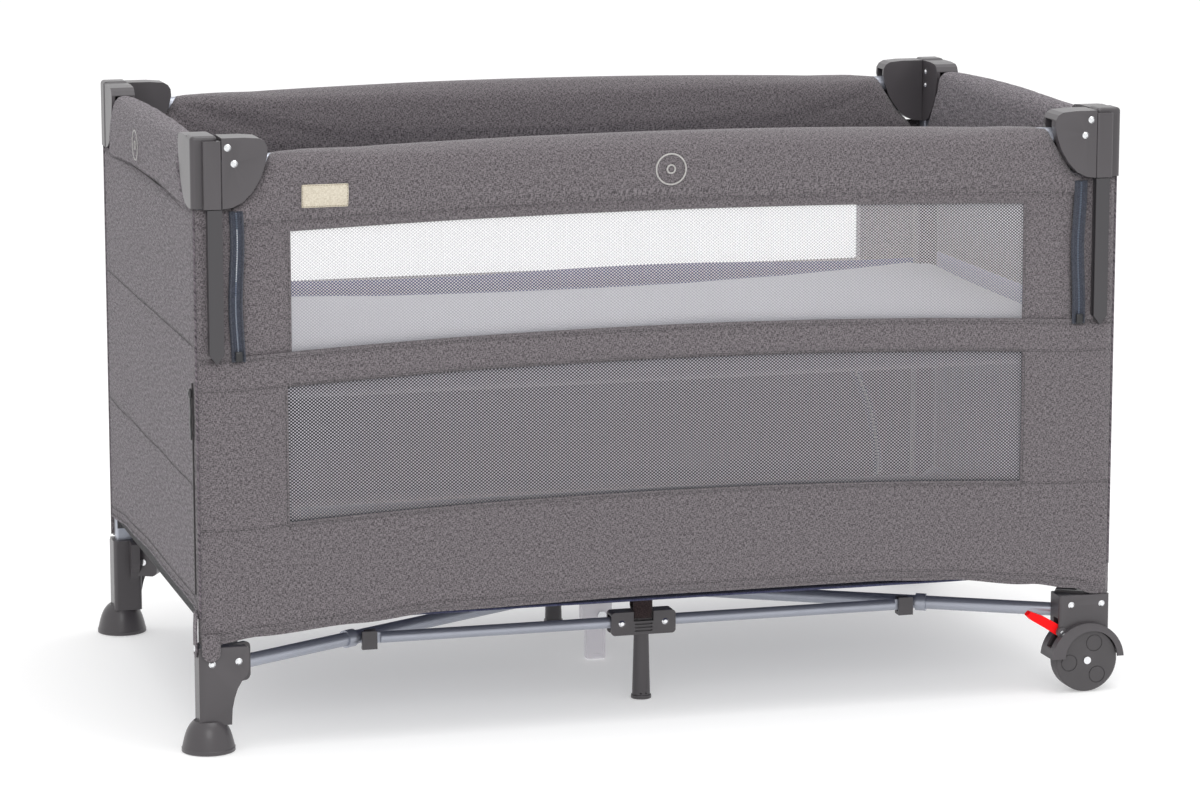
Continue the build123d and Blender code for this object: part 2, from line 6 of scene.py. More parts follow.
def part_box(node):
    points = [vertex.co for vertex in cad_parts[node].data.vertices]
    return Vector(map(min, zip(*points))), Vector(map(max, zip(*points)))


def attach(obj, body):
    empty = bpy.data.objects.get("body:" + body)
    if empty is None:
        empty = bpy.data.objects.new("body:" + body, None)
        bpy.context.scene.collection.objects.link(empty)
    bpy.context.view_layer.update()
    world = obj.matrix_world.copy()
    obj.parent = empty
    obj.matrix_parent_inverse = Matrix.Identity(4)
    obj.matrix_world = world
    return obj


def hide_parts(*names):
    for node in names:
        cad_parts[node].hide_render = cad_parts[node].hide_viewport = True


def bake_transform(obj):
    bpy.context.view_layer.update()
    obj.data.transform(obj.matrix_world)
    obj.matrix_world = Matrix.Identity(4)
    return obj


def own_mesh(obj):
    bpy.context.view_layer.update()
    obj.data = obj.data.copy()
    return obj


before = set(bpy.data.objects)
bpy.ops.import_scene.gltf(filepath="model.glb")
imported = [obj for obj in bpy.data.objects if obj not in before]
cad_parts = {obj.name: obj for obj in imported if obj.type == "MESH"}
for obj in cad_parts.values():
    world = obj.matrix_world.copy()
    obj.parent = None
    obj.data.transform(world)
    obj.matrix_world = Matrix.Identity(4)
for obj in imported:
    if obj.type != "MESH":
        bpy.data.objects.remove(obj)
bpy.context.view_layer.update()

TAU = 2 * math.pi

# ---- sizes, all from the CAD frame
front_lo, front_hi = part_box("wall_front_low")
floor_lo, floor_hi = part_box("floor_panel")
mat_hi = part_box("mattress")[1]
post_lo, post_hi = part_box("post_fl")
strap_lo, strap_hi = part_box("strap")
PX = -(post_lo.x + post_hi.x) / 2          # centre line of a post
PY = -(post_lo.y + post_hi.y) / 2
WX, WY = front_hi.x, -front_lo.y           # outer faces of the walls
WALL_TOP = 0.689                           # the wall cloth ends inside the rail covers
SEAM_END = 0.606                           # where the long seams of the front wall end
NET_DEPTH, LINING_DEPTH = 0.0003, 0.0012
ENDS = ((-1, "left", "corner_fl"), (1, "right", "corner_fr"))


# ---- node helpers
def new_material(name):
    m = bpy.data.materials.new(name)
    m.use_nodes = True
    t = m.node_tree
    return m, t, t.nodes["Principled BSDF"]


def put(socket, value):
    """A socket takes a link from another socket, or a plain value."""
    if isinstance(value, bpy.types.NodeSocket):
        socket.id_data.links.new(value, socket)
    else:
        socket.default_value = value


def maths(t, op, a, b=0.0, clamp=False):
    n = t.nodes.new("ShaderNodeMath")
    n.operation = op
    n.use_clamp = clamp
    put(n.inputs[0], a)
    put(n.inputs[1], b)
    return n.outputs[0]


def mix(t, fac, a, b):
    n = t.nodes.new("ShaderNodeMix")
    n.data_type = "RGBA"
    put(n.inputs["Factor"], fac)
    put(n.inputs[6], a)
    put(n.inputs[7], b)
    return n.outputs[2]


def grain(t, vector, scale, detail=2.0, rough=0.5):
    n = t.nodes.new("ShaderNodeTexNoise")
    put(n.inputs["Vector"], vector)
    n.inputs["Scale"].default_value = scale
    n.inputs["Detail"].default_value = detail
    n.inputs["Roughness"].default_value = rough
    return n.outputs["Fac"]


def stretched(t, vector, scale):
    n = t.nodes.new("ShaderNodeMapping")
    put(n.inputs["Vector"], vector)
    n.inputs["Scale"].default_value = scale
    return n.outputs[0]


def bump(t, bsdf, height, strength, distance):
    n = t.nodes.new("ShaderNodeBump")
    put(n.inputs["Height"], height)
    n.inputs["Strength"].default_value = strength
    n.inputs["Distance"].default_value = distance
    t.links.new(n.outputs[0], bsdf.inputs["Normal"])


def span(t, fac, low, high):
    """fac stretched so that low..high becomes 0..1."""
    n = t.nodes.new("ShaderNodeMapRange")
    put(n.inputs["Value"], fac)
    n.inputs["From Min"].default_value = low
    n.inputs["From Max"].default_value = high
    return n.outputs["Result"]


def cloth_axes(t, along):
    """Two axes in the cloth: along X or Y, and down over the edge of a rail."""
    c = t.nodes.new("ShaderNodeTexCoord").outputs["Object"]
    s = t.nodes.new("ShaderNodeSeparateXYZ")
    t.links.new(c, s.inputs[0])
    x, y, z = s.outputs
    u, w = (x, y) if along == "x" else (y, x)
    if along == "flat":
        u, v = x, y
    else:
        v = maths(t, "ADD", z, w)
    n = t.nodes.new("ShaderNodeCombineXYZ")
    put(n.inputs[0], u)
    put(n.inputs[1], v)
    return n.outputs[0], u, v


def weave(t, u, v, pitch):
    a = maths(t, "SINE", maths(t, "MULTIPLY", u, TAU / pitch))
    b = maths(t, "SINE", maths(t, "MULTIPLY", v, TAU / pitch))
    return maths(t, "MULTIPLY", a, b)


def cloth(name, along, dark, light, pitch=0.0011, streak=1.0, rough=0.92, depth=0.0004, long=1.0):
    """Woven cloth: threads of two shades in both directions, a weave bump and a little fuzz."""
    m, t, b = new_material(name)
    vec, u, v = cloth_axes(t, along)
    warp = grain(t, stretched(t, vec, (1350 * long, 270, 1)), 1.0, 1.0, 0.5)
    weft = grain(t, stretched(t, vec, (290 * long, 1250, 1)), 1.0, 1.0, 0.5)
    slub = grain(t, vec, 150.0, 2.0, 0.6)
    f = maths(t, "ADD", maths(t, "MULTIPLY", warp, 0.5), maths(t, "MULTIPLY", weft, 0.5))
    f = maths(t, "ADD", maths(t, "MULTIPLY", f, streak), maths(t, "MULTIPLY", slub, 0.12))
    f = span(t, f, 0.06 + 0.41 * streak, 0.06 + 0.59 * streak)
    threads = weave(t, u, v, pitch)
    colour = mix(t, f, dark, light)
    shade = maths(t, "ADD", maths(t, "MULTIPLY", threads, 0.10), 0.95)
    n = t.nodes.new("ShaderNodeHueSaturation")
    put(n.inputs["Value"], shade)
    put(n.inputs["Color"], colour)
    put(b.inputs["Base Color"], n.outputs[0])
    b.inputs["Roughness"].default_value = rough
    b.inputs["Specular IOR Level"].default_value = 0.2
    b.inputs["Sheen Weight"].default_value = 0.25
    b.inputs["Sheen Roughness"].default_value = 0.5
    height = maths(t, "ADD", threads, maths(t, "MULTIPLY", f, 1.2))
    bump(t, b, height, 0.6, depth)
    return m


def netting(name, along, thread, pitch=0.0044, open_share=-0.18):
    """Knitted net: staggered holes, see-through, between light threads."""
    m, t, b = new_material(name)
    vec, u, v = cloth_axes(t, along)
    cells = maths(t, "MULTIPLY", maths(t, "SINE", maths(t, "MULTIPLY", u, TAU / pitch)),
                  maths(t, "SINE", maths(t, "MULTIPLY", v, TAU / (pitch * 0.84))))
    hole = maths(t, "GREATER_THAN", cells, open_share)
    fine = grain(t, vec, 900.0)
    put(b.inputs["Base Color"], mix(t, fine, thread, tuple(0.8 * c for c in thread[:3]) + (1,)))
    b.inputs["Roughness"].default_value = 0.75
    bump(t, b, cells, 0.4, 0.0004)
    clear = t.nodes.new("ShaderNodeBsdfTransparent")
    both = t.nodes.new("ShaderNodeMixShader")
    put(both.inputs[0], hole)
    t.links.new(b.outputs[0], both.inputs[1])
    t.links.new(clear.outputs[0], both.inputs[2])
    t.links.new(both.outputs[0], t.nodes["Material Output"].inputs["Surface"])
    return m


def plastic(name, colour, rough, graininess=0.35, coat=0.0, shine=0.5):
    """Moulded plastic: fine grain in the surface, slightly paler on rubbed edges."""
    m, t, b = new_material(name)
    c = t.nodes.new("ShaderNodeTexCoord").outputs["Object"]
    fine = grain(t, c, 1500.0, 2.0)
    broad = grain(t, c, 18.0, 3.0)
    edge = t.nodes.new("ShaderNodeNewGeometry").outputs["Pointiness"]
    worn = span(t, edge, 0.53, 0.62)
    pale = tuple(min(1.0, c2 * 1.5 + 0.004) for c2 in colour[:3]) + (1,)
    base = mix(t, maths(t, "MULTIPLY", worn, 0.45, True), colour, pale)
    base = mix(t, maths(t, "MULTIPLY", broad, 0.18), base, pale)
    put(b.inputs["Base Color"], base)
    put(b.inputs["Roughness"], maths(t, "ADD", maths(t, "MULTIPLY", fine, 0.16), rough - 0.08))
    b.inputs["Specular IOR Level"].default_value = shine
    b.inputs["Coat Weight"].default_value = coat
    b.inputs["Coat Roughness"].default_value = 0.15
    bump(t, b, fine, graininess, 0.0002)
    return m


def metal(name, colour, rough, metallic=1.0):
    m, t, b = new_material(name)
    c = t.nodes.new("ShaderNodeTexCoord").outputs["Object"]
    fine = grain(t, c, 700.0, 2.0)
    broad = grain(t, c, 25.0, 3.0)
    put(b.inputs["Base Color"], mix(t, maths(t, "MULTIPLY", broad, 0.35), colour,
                                    tuple(0.7 * x for x in colour[:3]) + (1,)))
    put(b.inputs["Roughness"], maths(t, "ADD", maths(t, "MULTIPLY", broad, 0.14), rough - 0.05))
    b.inputs["Metallic"].default_value = metallic
    bump(t, b, fine, 0.12, 0.0001)
    return m


DARK, LIGHT = (0.058, 0.050, 0.055, 1), (0.245, 0.220, 0.234, 1)
grey_x = cloth("grey_cloth_long", "x", DARK, LIGHT)
grey_y = cloth("grey_cloth_end", "y", (0.024, 0.019, 0.025, 1), (0.236, 0.204, 0.228, 1),
               long=0.2)
# inner cloth: dark grey, darkened further to paint the shade inside the pen
inner_grey_painted_shade = cloth("inner_cloth", "x", (0.030, 0.028, 0.033, 1), (0.060, 0.057, 0.066, 1), 0.0009, 0.8)
navy_x = cloth("navy_binding_long", "x", (0.055, 0.060, 0.150, 1), (0.100, 0.108, 0.240, 1), 0.0009)
# a lighter copy of the navy, painted light for the lit end linings
navy_end_painted_light = cloth("navy_lining_end_lit", "y", (0.10, 0.105, 0.20, 1), (0.19, 0.20, 0.33, 1), 0.0009)
navy_flat = cloth("navy_floor", "flat", (0.030, 0.032, 0.075, 1), (0.060, 0.064, 0.125, 1), 0.001)
pad_cloth = cloth("mattress_cloth", "flat", (0.31, 0.31, 0.35, 1), (0.42, 0.42, 0.46, 1), 0.0012, 0.8)
# near black cloth that paints the shade below the mattress
painted_shade_lining = cloth("painted_shade_lining", "x", (0.006, 0.006, 0.009, 1), (0.014, 0.014, 0.018, 1), 0.0009, 0.8)
net_x = netting("net_long", "x", (0.60, 0.59, 0.62, 1), 0.0046, -0.16)
net_low = netting("net_low", "x", (0.46, 0.45, 0.49, 1), 0.0048, -0.17)
net_back = netting("net_back", "x", (0.86, 0.86, 0.88, 1), 0.0031, -0.5)
thread = cloth("thread", "x", (0.035, 0.033, 0.034, 1), (0.07, 0.066, 0.068, 1), 0.0006)
pale_thread = cloth("pale_thread", "x", (0.45, 0.44, 0.43, 1), (0.62, 0.60, 0.58, 1), 0.0006)
tan_thread = cloth("tan_thread", "x", (0.30, 0.22, 0.14, 1), (0.42, 0.32, 0.2, 1), 0.0006)
strap_cloth = cloth("webbing", "x", (0.020, 0.012, 0.012, 1), (0.055, 0.034, 0.034, 1), 0.0016)
label_cloth = cloth("label_cloth", "x", (0.62, 0.55, 0.43, 1), (0.80, 0.74, 0.62, 1), 0.0008, 0.7)
zip_tape = cloth("zip_tape", "x", (0.030, 0.034, 0.050, 1), (0.070, 0.078, 0.105, 1), 0.0009)
zip_teeth = plastic("zip_teeth", (0.10, 0.125, 0.17, 1), 0.35, 0.1)
grey_plastic = plastic("grey_plastic", (0.050, 0.045, 0.049, 1), 0.38, 0.25, 0.12)
tyre_plastic = plastic("wheel_plastic", (0.052, 0.048, 0.051, 1), 0.55, 0.2)
red_plastic = plastic("red_plastic", (0.86, 0.004, 0.006, 1), 0.5, 0.1, 0.0, 0.12)
track_plastic = plastic("track_plastic", (0.030, 0.028, 0.031, 1), 0.36, 0.2, 0.1)
black_plastic = plastic("black_plastic", (0.015, 0.015, 0.016, 1), 0.4, 0.2)
tube_paint = metal("tube_paint", (0.42, 0.44, 0.50, 1), 0.34, 0.6)
bright_steel = metal("bright_steel", (0.80, 0.81, 0.83, 1), 0.18)

# cloudy clear plastic: part of what is behind it shows through
clear_plastic, t, b = new_material("clear_plastic")
b.inputs["Base Color"].default_value = (0.97, 0.95, 0.98, 1)
b.inputs["Roughness"].default_value = 0.22
bump(t, b, grain(t, t.nodes.new("ShaderNodeTexCoord").outputs["Object"], 120.0), 0.15, 0.0004)
glow = t.nodes.new("ShaderNodeBsdfTranslucent")
glow.inputs[0].default_value = (0.97, 0.95, 0.98, 1)
body = t.nodes.new("ShaderNodeMixShader")
body.inputs[0].default_value = 0.45
t.links.new(b.outputs[0], body.inputs[1])
t.links.new(glow.outputs[0], body.inputs[2])
through = t.nodes.new("ShaderNodeMixShader")
through.inputs[0].default_value = 0.2
t.links.new(body.outputs[0], through.inputs[1])
t.links.new(t.nodes.new("ShaderNodeBsdfTransparent").outputs[0], through.inputs[2])
t.links.new(through.outputs[0], t.nodes["Material Output"].inputs["Surface"])

# CAD nodes that stay in view get their finish here
FINISH = {"post": tube_paint, "diagonal": tube_paint, "stab_tube": tube_paint, "rail": tube_paint,
          "rivets": bright_steel, "brake": red_plastic, "hub_foot": clear_plastic,
          "track": track_plastic}


def cad_finish(node):
    if node in ("wheel_fr", "wheel_br"):
        return tyre_plastic
    for start, m in FINISH.items():
        if node.startswith(start):
            return m
    return grey_plastic


for node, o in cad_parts.items():
    for slot in o.material_slots:
        slot.material = cad_finish(node)
    if not o.material_slots:
        o.data.materials.append(cad_finish(node))


def recolour(node, test, material):
    """The faces of a CAD node whose centre passes the test get another finish."""
    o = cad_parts[node]
    o.data.materials.append(material)
    k = len(o.data.materials) - 1
    for p in o.data.polygons:
        if test(p.center):
            p.material_index = k


# ---- mesh helpers
def mesh_piece(name, verts, faces, material, smooth=True):
    me = bpy.data.meshes.new(name)
    me.from_pydata([tuple(v) for v in verts], [], faces)
    me.validate()
    me.update()
    o = bpy.data.objects.new(name, me)
    bpy.context.scene.collection.objects.link(o)
    me.materials.append(material)
    for p in me.polygons:
        p.use_smooth = smooth
    return o


def steps(lo, hi, n):
    return [lo + (hi - lo) * i / n for i in range(n + 1)]


def grid_faces(nx, ny):
    """Faces of a grid of nx by ny cells whose points are listed row by row."""
    corners = [j * (nx + 1) + i for j in range(ny) for i in range(nx)]
    return [(a, a + 1, a + nx + 2, a + nx + 1) for a in corners]


def loft_faces(rows, n):
    """Faces round a row of closed sections of n points each, with both ends closed."""
    faces = []
    for i in range(rows - 1):
        for k in range(n):
            a, b2 = i * n + k, i * n + (k + 1) % n
            faces.append((a, b2, b2 + n, a + n))
    faces.append(tuple(range(n - 1, -1, -1)))
    faces.append(tuple(range((rows - 1) * n, rows * n)))
    return faces


def heading(points, i):
    """Direction of a path at its point i."""
    return (points[min(i + 1, len(points) - 1)] - points[max(i - 1, 0)]).normalized()


def fray(u, v, size, height, seed=0.0):
    """Soft unevenness of hanging cloth."""
    return height * noise.noise(Vector((u / size, v / size, seed)))


def thicken(o, depth, offset=0.0):
    """A thin sheet made solid, and its modifier applied."""
    s = o.modifiers.new("depth", "SOLIDIFY")
    s.thickness, s.offset = depth, offset
    return apply_all(o)


def apply_all(o):
    bpy.context.view_layer.update()
    me = bpy.data.meshes.new_from_object(o.evaluated_get(bpy.context.evaluated_depsgraph_get()))
    me.name = o.name
    o.modifiers.clear()
    o.data = me
    return o


def height_at(curve, u):
    """A curve is a function of u, or one height all along."""
    return curve(u) if callable(curve) else curve


def bands(name, us, curves, place, material, skip=None, depth=0.0016):
    """A sheet between curves of the first axis; curves = [(curve, rows up to the next)].
    skip(u, band) leaves a cell out, as at a window."""
    last = len(curves) - 1
    rows = [(i, k / curves[i][1]) for i in range(last) for k in range(curves[i][1])] + [(last, 0.0)]
    verts = []
    for i, s in rows:
        for u in us:
            lo = height_at(curves[i][0], u)
            hi = height_at(curves[min(i + 1, last)][0], u)
            verts.append(place(u, lo + (hi - lo) * s))
    n, faces = len(us), []
    for r in range(len(rows) - 1):
        for c in range(n - 1):
            if skip and skip((us[c] + us[c + 1]) / 2, rows[r][0]):
                continue
            a = r * n + c
            faces.append((a, a + 1, a + n + 1, a + n))
    o = mesh_piece(name, verts, faces, material)
    bm = bmesh.new()
    bm.from_mesh(o.data)
    bmesh.ops.delete(bm, geom=[v for v in bm.verts if not v.link_faces], context="VERTS")
    bm.to_mesh(o.data)
    bm.free()
    return thicken(o, depth) if depth else o


def stitches(name, path, material, length=0.0032, gap=0.0018, width=0.0007, normal=(0, -1, 0)):
    """A row of short raised threads along a list of points."""
    points = [Vector(p) for p in path]
    n = Vector(normal).normalized()
    verts, faces, run = [], [], 0.0
    place = 0.0
    for a, b in zip(points, points[1:]):
        d = b - a
        long = d.length
        if long < 1e-9:
            continue
        d.normalize()
        side = d.cross(n).normalized()
        while place < run + long:
            s = a + d * (place - run)
            e = s + d * length
            k = len(verts)
            for p in (s, e):
                verts += [p - side * width / 2, p + side * width / 2]
            top = (s + e) / 2 + n * width * 0.9
            verts += [top - d * length * 0.3, top + d * length * 0.3]
            faces += [(k, k + 1, k + 4), (k + 3, k + 2, k + 5), (k, k + 4, k + 5, k + 2),
                      (k + 1, k + 3, k + 5, k + 4), (k, k + 2, k + 3, k + 1)]
            place += length + gap
        run += long
    return mesh_piece(name, verts, faces, material)


def ribbon(name, path, across, width, depth, material):
    """A flat band along a list of points; across is its width direction."""
    points = [Vector(p) for p in path]
    w = Vector(across).normalized() * width / 2
    verts = []
    for i, p in enumerate(points):
        n = heading(points, i).cross(w).normalized() * depth / 2
        verts += [p - w - n, p - w * 0.8 - n * 1.3, p + w * 0.8 - n * 1.3, p + w - n,
                  p + w + n, p + w * 0.8 + n * 1.3, p - w * 0.8 + n * 1.3, p - w + n]
    return mesh_piece(name, verts, loft_faces(len(points), 8), material)


def tube(name, path, radius, material, sides=10):
    points = [Vector(p) for p in path]
    verts = []
    for i, p in enumerate(points):
        d = heading(points, i)
        a = d.orthogonal().normalized() if abs(d.z) > 0.9 else d.cross(Vector((0, 0, 1))).normalized()
        b2 = d.cross(a)
        for k in range(sides):
            q = TAU * k / sides
            verts.append(p + a * radius * math.cos(q) + b2 * radius * math.sin(q))
    return mesh_piece(name, verts, loft_faces(len(points), sides), material)


def ring(name, centre, normal, radius, wide, thick, material, turns=48):
    """A flat ring lying on a surface."""
    n = Vector(normal).normalized()
    a = n.orthogonal().normalized()
    b2 = n.cross(a)
    verts, faces = [], []
    profile = [(-wide / 2, 0), (-wide / 3, thick), (wide / 3, thick), (wide / 2, 0)]
    for i in range(turns):
        q = TAU * i / turns
        d = a * math.cos(q) + b2 * math.sin(q)
        for dr, h in profile:
            verts.append(Vector(centre) + d * (radius + dr) + n * h)
    for i in range(turns):
        j = (i + 1) % turns
        for k in range(4):
            k2 = (k + 1) % 4
            faces.append((i * 4 + k, i * 4 + k2, j * 4 + k2, j * 4 + k))
    return mesh_piece(name, verts, faces, material)


def inflate(o, voxel, cap, hold, pressure=4.0):
    """Cloth simulation that fills a closed cloth form with stuffing; hold(point) is 1 where a seam
    keeps the cloth in place. The result is applied and smoothed."""
    r = o.modifiers.new("remesh", "REMESH")
    r.mode, r.voxel_size = "VOXEL", voxel
    apply_all(o)
    rest = [v.co.copy() for v in o.data.vertices]
    group = o.vertex_groups.new(name="pin")
    for i, co in enumerate(rest):
        w = hold(co)
        if w > 0:
            group.add([i], w, "REPLACE")
    c = o.modifiers.new("cloth", "CLOTH")
    c.settings.use_pressure = True
    c.settings.uniform_pressure_force = pressure
    c.settings.effector_weights.gravity = 0
    c.settings.vertex_group_mass = "pin"
    c.settings.quality = 5
    c.settings.tension_stiffness = 12
    c.settings.bending_stiffness = 0.3
    frames = 20
    c.point_cache.frame_start, c.point_cache.frame_end = 1, frames
    scene = bpy.context.scene
    for f in range(1, frames + 1):
        scene.frame_set(f)
        bpy.context.view_layer.update()
    me = bpy.data.meshes.new_from_object(o.evaluated_get(bpy.context.evaluated_depsgraph_get()))
    me.name = o.name
    o.modifiers.clear()
    o.vertex_groups.clear()
    for v, r0 in zip(me.vertices, rest):
        d = v.co - r0
        if d.length > cap:
            v.co = r0 + d * (cap / d.length)
    o.data = me
    scene.frame_set(1)
    s = o.modifiers.new("smooth", "SMOOTH")
    s.factor, s.iterations = 0.5, 2
    apply_all(o)
    for p in o.data.polygons:
        p.use_smooth = True
    return o


def bow(half, ends, middle):
    """A curve that is `ends` at the two posts and `middle` half way."""
    return lambda u: ends + (middle - ends) * (1 - min(1.0, abs(u) / half) ** 2)


def through(table):
    """A curve through the points of a table, level at each of them."""
    def curve(u):
        if u <= table[0][0]:
            return table[0][1]
        for (a, va), (b2, vb) in zip(table, table[1:]):
            if u <= b2:
                s = (u - a) / (b2 - a)
                s = s * s * (3 - 2 * s)
                return va + (vb - va) * s
        return table[-1][1]
    return curve


def lerp_line(u, us, values):
    for i in range(len(us) - 1):
        if u <= us[i + 1]:
            return values[i] + (values[i + 1] - values[i]) * (u - us[i]) / (us[i + 1] - us[i])
    return values[-1]


def on_wall(body, along, *pieces, slot="fabric_grey"):
    """Pieces of a wall along x or y ride on one post."""
    axis, anchor = ((1, 0, 0), (-PX, 0, 0)) if along == "x" else ((0, 1, 0), (0, -PY, 0))
    for o in pieces:
        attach(o, body)
        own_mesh(o)
        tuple(axis)
        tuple(anchor)


# ---- front wall, lower panel
hem = through([(-WX, 0.138), (-0.600, 0.1385), (-0.535, 0.147), (-0.41, 0.156), (-0.30, 0.165),
               (0.0, 0.169), (0.28, 0.169), (0.38, 0.165), (0.50, 0.152), (0.56, 0.143),
               (0.590, 0.1335), (WX, 0.132)])
WIN_L, WIN_R = -0.495, 0.483               # sides of the lower window
WIN_LOW, WIN_HIGH = 0.286, 0.459           # its corners
low_bottom = bow(0.55, WIN_LOW, 0.304)
low_top = bow(0.55, WIN_HIGH, 0.476)
shelf = bow(0.56, 0.502, 0.519)            # lower edge of the upper window and of the panel that drops
STRIP_X = 0.5635                           # inner edge of the strips over the front posts


def front_place(depth, size=0.16, amount=0.0022, seed=1.0):
    def place(u, z):
        wave = fray(u, z, size, amount, seed) * min(1.0, (WX - abs(u)) / 0.06)
        edge = max(0.0, (abs(u) - WX + 0.010) / 0.010)
        return (u, depth + wave + 0.006 * edge ** 2, z)
    return place


wall_place = front_place(-WY + 0.001)
US = sorted(set([round(x, 5) for x in steps(-WX, WX, 204)] + [WIN_L, WIN_R, -0.562, 0.562]))
low_wall = bands("front_cloth", US, [(hem, 14), (low_bottom, 16), (low_top, 4), (shelf, 1)],
                 wall_place, grey_x, lambda u, band: band == 1 and WIN_L < u < WIN_R)
low_net = bands("front_low_net", [u for u in US if WIN_L - 0.012 <= u <= WIN_R + 0.012],
                [(lambda u: low_bottom(u) - 0.008, 8), (lambda u: low_top(u) + 0.008, 1)],
                front_place(-WY + 0.0032), net_low, depth=NET_DEPTH)
strips = []
for s in (-1, 1):
    inner, outer = s * STRIP_X, s * WX
    us = steps(min(inner, outer), max(inner, outer), 12)
    strips.append(bands(f"post_strip_{'l' if s < 0 else 'r'}", us, [(shelf, 18), (WALL_TOP, 1)],
                        wall_place, grey_x))


def seam(place, points):
    """Points of a seam, just in front of the cloth of the front wall."""
    placed = [place(u, z) for u, z in points]
    return [(x, y - 0.0009, z) for x, y, z in placed]


def front_line(curve, a, b2):
    return seam(wall_place, [(u, curve(u)) for u in steps(a, b2, 160)])


def up_line(u, z0, z1, place=wall_place):
    return seam(place, [(u, z) for z in steps(z0, z1, 30)])


SEAM_LINES = [
    ("hem_seam", front_line(lambda u: hem(u) + 0.0125, -SEAM_END, SEAM_END)),
    ("low_win_seam_b", front_line(lambda u: low_bottom(u) - 0.003, WIN_L - 0.003, WIN_R + 0.003)),
    ("low_win_seam_t", front_line(lambda u: low_top(u) + 0.003, -SEAM_END, SEAM_END)),
    ("shelf_seam", front_line(lambda u: shelf(u) - 0.004, -SEAM_END, SEAM_END)),
    ("low_side_seam", front_line(lambda u: low_bottom(u) - 0.001, -SEAM_END, WIN_L)),
    ("low_side_seam_r", front_line(lambda u: low_bottom(u) - 0.001, WIN_R, SEAM_END)),
    ("win_edge_l", up_line(WIN_L - 0.003, WIN_LOW, WIN_HIGH)),
    ("win_edge_r", up_line(WIN_R + 0.003, WIN_LOW, WIN_HIGH)),
]
front_bits = []
for name, pts in SEAM_LINES:
    front_bits.append(tube(name + "_groove", [(x, y + 0.0007, z) for x, y, z in pts], 0.0007,
                           thread, 6))
    front_bits.append(stitches(name, [(x, y, z - 0.0022) for x, y, z in pts], thread))
hem_roll = tube("hem_roll", [(x, y + 0.0012, z) for x, y, z in front_line(hem, -0.609, 0.609)], 0.0022,
                grey_x, 8)
front_bits.append(hem_roll)
on_wall("corner_fl", "x", low_wall, low_net, strips[0], *front_bits)
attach(strips[1], "corner_fr")
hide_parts("wall_front_low")

# ---- front wall, panel that drops
UP_L, UP_R = -0.489, 0.483                 # sides of the upper window
UP_LOW, UP_HIGH = 0.505, 0.655             # its corners
win_top = bow(0.55, UP_HIGH, 0.667)
up_place = front_place(-WY + 0.0042, 0.12, 0.0016, 4.0)
UU = sorted(set([round(x, 5) for x in steps(-0.5525, 0.5525, 180)] + [UP_L, UP_R]))
up_wall = bands("drop_cloth", UU, [(lambda u: shelf(u) - 0.006, 1), (shelf, 14), (win_top, 2),
                                   (lambda u: win_top(u) + 0.016, 1)],
                up_place, grey_x, lambda u, band: band == 1 and UP_L < u < UP_R, 0.0014)
up_net = bands("drop_net", [u for u in UU if UP_L - 0.01 <= u <= UP_R + 0.01],
               [(lambda u: shelf(u) - 0.004, 8), (lambda u: win_top(u) + 0.006, 1)],
               front_place(-WY + 0.0060, 0.12, 0.0016, 4.0), net_x, depth=NET_DEPTH)
up_bits = [stitches(name, up_line(u, UP_LOW, UP_HIGH, up_place), thread)
           for name, u in (("drop_seam_l", UP_L - 0.003), ("drop_seam_r", UP_R + 0.003))]
on_wall("slider_l", "x", up_wall, up_net, *up_bits)
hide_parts("wall_front_up")


# zips: two tapes and a row of teeth, slightly wavy
def zip_x(s, z):
    return s * (0.5585 + 0.0016 * math.sin((z - 0.5) * 38.0 + s))


for s, tag in ((-1, "l"), (1, "r")):
    zs = steps(0.497, 0.686, 66)
    zip_bits = []
    for side, part in ((-1, "a"), (1, "b")):
        path = [(zip_x(s, z) + side * 0.0048, -WY - 0.0012 - fray(s, z, 0.05, 0.0008), z) for z in zs]
        zip_bits.append(ribbon(f"zip_tape_{tag}{part}", path, (1, 0, 0), 0.0084, 0.0009, zip_tape))
        path = [(zip_x(s, z) + side * 0.0072, -WY - 0.0022 - fray(s, z, 0.05, 0.0008), z) for z in zs]
        zip_bits.append(tube(f"zip_edge_{tag}{part}", path, 0.0011, zip_tape, 6))
    verts, faces = [], []
    z = 0.4985
    while z < 0.684:
        x = zip_x(s, z)
        k = len(verts)
        for dx, dy, dz in ((-1, 0, -1), (1, 0, -1), (1, 0, 1), (-1, 0, 1), (-0.6, -1, -0.6),
                           (0.6, -1, -0.6), (0.6, -1, 0.6), (-0.6, -1, 0.6)):
            verts.append((x + 0.0014 * dx, -WY - 0.0014 + 0.0013 * dy, z + 0.0007 * dz))
        faces += [(k, k + 1, k + 5, k + 4), (k + 1, k + 2, k + 6, k + 5), (k + 2, k + 3, k + 7, k + 6),
                  (k + 3, k, k + 4, k + 7), (k + 4, k + 5, k + 6, k + 7), (k + 3, k + 2, k + 1, k)]
        z += 0.0022
    teeth = mesh_piece(f"zip_teeth_{tag}", verts, faces, zip_teeth, False)
    path = [(zip_x(s, z), -WY - 0.0045, z) for z in steps(0.498, 0.510, 4)]
    slide = ribbon(f"zip_slider_{tag}", path, (1, 0, 0), 0.0085, 0.003, black_plastic)
    for o in zip_bits + [teeth, slide]:
        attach(o, "corner_fl" if s < 0 else "corner_fr")

# ---- ends and back
end_hem = through([(-PY - 0.011, 0.172), (-0.30, 0.180), (0.0, 0.183), (0.20, 0.177),
                   (PY + 0.011, 0.166)])
END_SEAMS = (0.335, 0.515)


def end_place(s, depth=0.0012, seed=7.0):
    def place(v, z):
        wave = fray(v, z, 0.17, 0.0030, seed + s) * min(1.0, (PY + 0.012 - abs(v)) / 0.06)
        return (s * (WX - depth) + s * (wave - 0.001), v, z)
    return place


